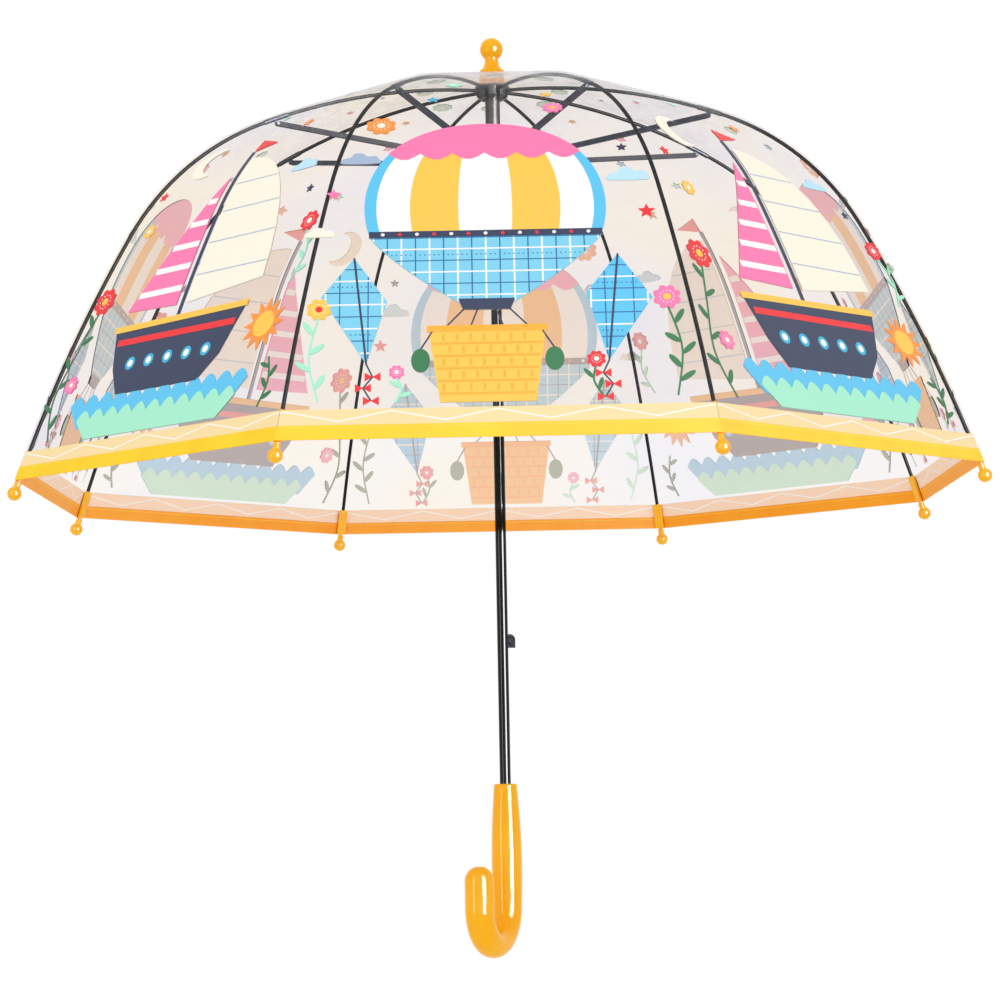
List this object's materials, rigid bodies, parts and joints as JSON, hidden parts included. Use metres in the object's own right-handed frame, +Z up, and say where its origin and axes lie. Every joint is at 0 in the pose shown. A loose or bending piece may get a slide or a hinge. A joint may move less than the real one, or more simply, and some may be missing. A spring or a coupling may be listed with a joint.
{
  "type": "children's umbrella",
  "caption": "Child's clear dome umbrella with ribs, stretchers and a sliding runner that fold together, a hooked handle and a printed film canopy.",
  "frame": {"origin": "on the shaft axis at the middle of the hand grip", "axes": "+Z up along the shaft to the finial; the crook's open end points to -Y; ribs lie every 45 degrees starting at -Y"},
  "size_m": [0.7314, 0.7314, 0.6795],
  "materials": {
    "clear_film": "clear printed film",
    "hem_tape": "yellow binding tape",
    "amber_plastic": "gloss",
    "tip_plastic": "gloss",
    "shaft_steel": "gloss black",
    "rib_wire": "black",
    "stretcher_steel": "dark plated",
    "clip_steel": "dark plated",
    "bright_wire": "plain",
    "catch_steel": "dark",
    "black_plastic": "satin black"
  },
  "bodies": {
    "shaft_assembly": {"handle": "amber_plastic", "shaft": "shaft_steel", "stop_sleeve": "black_plastic", "crown_notch": "black_plastic", "crown_wire": "bright_wire", "canopy_washer": "black_plastic", "finial": "amber_plastic"},
    "runner": {"runner": "black_plastic", "runner_wire": "bright_wire"},
    "upper_catch": {"upper_catch": "catch_steel"},
    "lower_catch": {"lower_catch": "catch_steel"},
    "rib_1": {"rib_1": "rib_wire", "rib_clip_1": "clip_steel", "rib_tip_1": "tip_plastic", "canopy_panel_1": "clear_film", "hem_tape_1": "hem_tape"},
    "rib_2": {"rib_2": "rib_wire", "rib_clip_2": "clip_steel", "rib_tip_2": "tip_plastic", "canopy_panel_2": "clear_film", "hem_tape_2": "hem_tape"},
    "rib_3": {"rib_3": "rib_wire", "rib_clip_3": "clip_steel", "rib_tip_3": "tip_plastic", "canopy_panel_3": "clear_film", "hem_tape_3": "hem_tape"},
    "rib_4": {"rib_4": "rib_wire", "rib_clip_4": "clip_steel", "rib_tip_4": "tip_plastic", "canopy_panel_4": "clear_film", "hem_tape_4": "hem_tape"},
    "rib_5": {"rib_5": "rib_wire", "rib_clip_5": "clip_steel", "rib_tip_5": "tip_plastic", "canopy_panel_5": "clear_film", "hem_tape_5": "hem_tape"},
    "rib_6": {"rib_6": "rib_wire", "rib_clip_6": "clip_steel", "rib_tip_6": "tip_plastic", "canopy_panel_6": "clear_film", "hem_tape_6": "hem_tape"},
    "rib_7": {"rib_7": "rib_wire", "rib_clip_7": "clip_steel", "rib_tip_7": "tip_plastic", "canopy_panel_7": "clear_film", "hem_tape_7": "hem_tape"},
    "rib_8": {"rib_8": "rib_wire", "rib_clip_8": "clip_steel", "rib_tip_8": "tip_plastic", "canopy_panel_8": "clear_film", "hem_tape_8": "hem_tape"},
    "stretcher_1": {"stretcher_1": "stretcher_steel"},
    "stretcher_2": {"stretcher_2": "stretcher_steel"},
    "stretcher_3": {"stretcher_3": "stretcher_steel"},
    "stretcher_4": {"stretcher_4": "stretcher_steel"},
    "stretcher_5": {"stretcher_5": "stretcher_steel"},
    "stretcher_6": {"stretcher_6": "stretcher_steel"},
    "stretcher_7": {"stretcher_7": "stretcher_steel"},
    "stretcher_8": {"stretcher_8": "stretcher_steel"}
  },
  "joints": [
    {"name": "runner_slide", "type": "slide", "parent": "shaft_assembly", "child": "runner", "axis": [0, 0, -1], "range_m": [0, 0.22156]},
    {"name": "rib_hinge_1", "type": "hinge", "parent": "shaft_assembly", "child": "rib_1", "pos_m": [0, -0.008, 0.5546], "axis": [1, 0, 0], "range_deg": [0, 46.01], "deforming": ["canopy_panel_1", "hem_tape_1"]},
    {"name": "rib_hinge_2", "type": "hinge", "parent": "shaft_assembly", "child": "rib_2", "pos_m": [0.00566, -0.00566, 0.5546], "axis": [0.7071, 0.7071, 0], "range_deg": [0, 46.01], "deforming": ["canopy_panel_2", "hem_tape_2"]},
    {"name": "rib_hinge_3", "type": "hinge", "parent": "shaft_assembly", "child": "rib_3", "pos_m": [0.008, 0, 0.5546], "axis": [0, 1, 0], "range_deg": [0, 46.01], "deforming": ["canopy_panel_3", "hem_tape_3"]},
    {"name": "rib_hinge_4", "type": "hinge", "parent": "shaft_assembly", "child": "rib_4", "pos_m": [0.00566, 0.00566, 0.5546], "axis": [-0.7071, 0.7071, 0], "range_deg": [0, 46.01], "deforming": ["canopy_panel_4", "hem_tape_4"]},
    {"name": "rib_hinge_5", "type": "hinge", "parent": "shaft_assembly", "child": "rib_5", "pos_m": [0, 0.008, 0.5546], "axis": [-1, 0, 0], "range_deg": [0, 46.01], "deforming": ["canopy_panel_5", "hem_tape_5"]},
    {"name": "rib_hinge_6", "type": "hinge", "parent": "shaft_assembly", "child": "rib_6", "pos_m": [-0.00566, 0.00566, 0.5546], "axis": [-0.7071, -0.7071, 0], "range_deg": [0, 46.01], "deforming": ["canopy_panel_6", "hem_tape_6"]},
    {"name": "rib_hinge_7", "type": "hinge", "parent": "shaft_assembly", "child": "rib_7", "pos_m": [-0.008, 0, 0.5546], "axis": [0, -1, 0], "range_deg": [0, 46.01], "deforming": ["canopy_panel_7", "hem_tape_7"]},
    {"name": "rib_hinge_8", "type": "hinge", "parent": "shaft_assembly", "child": "rib_8", "pos_m": [-0.00566, -0.00566, 0.5546], "axis": [0.7071, -0.7071, 0], "range_deg": [0, 46.01], "deforming": ["canopy_panel_8", "hem_tape_8"]},
    {"name": "stretcher_hinge_1", "type": "hinge", "parent": "rib_1", "child": "stretcher_1", "pos_m": [0, -0.16829, 0.51803], "axis": [1, 0, 0], "range_deg": [-98.86, 0]},
    {"name": "stretcher_hinge_2", "type": "hinge", "parent": "rib_2", "child": "stretcher_2", "pos_m": [0.119, -0.119, 0.51803], "axis": [0.7071, 0.7071, 0], "range_deg": [-98.86, 0]},
    {"name": "stretcher_hinge_3", "type": "hinge", "parent": "rib_3", "child": "stretcher_3", "pos_m": [0.16829, 0, 0.51803], "axis": [0, 1, 0], "range_deg": [-98.86, 0]},
    {"name": "stretcher_hinge_4", "type": "hinge", "parent": "rib_4", "child": "stretcher_4", "pos_m": [0.119, 0.119, 0.51803], "axis": [-0.7071, 0.7071, 0], "range_deg": [-98.86, 0]},
    {"name": "stretcher_hinge_5", "type": "hinge", "parent": "rib_5", "child": "stretcher_5", "pos_m": [0, 0.16829, 0.51803], "axis": [-1, 0, 0], "range_deg": [-98.86, 0]},
    {"name": "stretcher_hinge_6", "type": "hinge", "parent": "rib_6", "child": "stretcher_6", "pos_m": [-0.119, 0.119, 0.51803], "axis": [-0.7071, -0.7071, 0], "range_deg": [-98.86, 0]},
    {"name": "stretcher_hinge_7", "type": "hinge", "parent": "rib_7", "child": "stretcher_7", "pos_m": [-0.16829, 0, 0.51803], "axis": [0, -1, 0], "range_deg": [-98.86, 0]},
    {"name": "stretcher_hinge_8", "type": "hinge", "parent": "rib_8", "child": "stretcher_8", "pos_m": [-0.119, -0.119, 0.51803], "axis": [0.7071, -0.7071, 0], "range_deg": [-98.86, 0]},
    {"name": "upper_catch_press", "type": "slide", "parent": "shaft_assembly", "child": "upper_catch", "axis": [-0.9239, -0.3827, 0], "range_m": [0, 0.0015], "stiffness_N_per_m": 400, "springref_m": -0.002},
    {"name": "lower_catch_press", "type": "slide", "parent": "shaft_assembly", "child": "lower_catch", "axis": [-0.9239, -0.3827, 0], "range_m": [0, 0.0052], "stiffness_N_per_m": 250, "springref_m": -0.002}
  ],
  "couplings": [
    {"joint": "rib_hinge_1", "follows": "runner_slide", "rad_per_m": 3.6237},
    {"joint": "rib_hinge_2", "follows": "runner_slide", "rad_per_m": 3.6237},
    {"joint": "rib_hinge_3", "follows": "runner_slide", "rad_per_m": 3.6237},
    {"joint": "rib_hinge_4", "follows": "runner_slide", "rad_per_m": 3.6237},
    {"joint": "rib_hinge_5", "follows": "runner_slide", "rad_per_m": 3.6237},
    {"joint": "rib_hinge_6", "follows": "runner_slide", "rad_per_m": 3.6237},
    {"joint": "rib_hinge_7", "follows": "runner_slide", "rad_per_m": 3.6237},
    {"joint": "rib_hinge_8", "follows": "runner_slide", "rad_per_m": 3.6237},
    {"joint": "stretcher_hinge_1", "follows": "runner_slide", "rad_per_m": -7.7861},
    {"joint": "stretcher_hinge_2", "follows": "runner_slide", "rad_per_m": -7.7861},
    {"joint": "stretcher_hinge_3", "follows": "runner_slide", "rad_per_m": -7.7861},
    {"joint": "stretcher_hinge_4", "follows": "runner_slide", "rad_per_m": -7.7861},
    {"joint": "stretcher_hinge_5", "follows": "runner_slide", "rad_per_m": -7.7861},
    {"joint": "stretcher_hinge_6", "follows": "runner_slide", "rad_per_m": -7.7861},
    {"joint": "stretcher_hinge_7", "follows": "runner_slide", "rad_per_m": -7.7861},
    {"joint": "stretcher_hinge_8", "follows": "runner_slide", "rad_per_m": -7.7861}
  ]
}
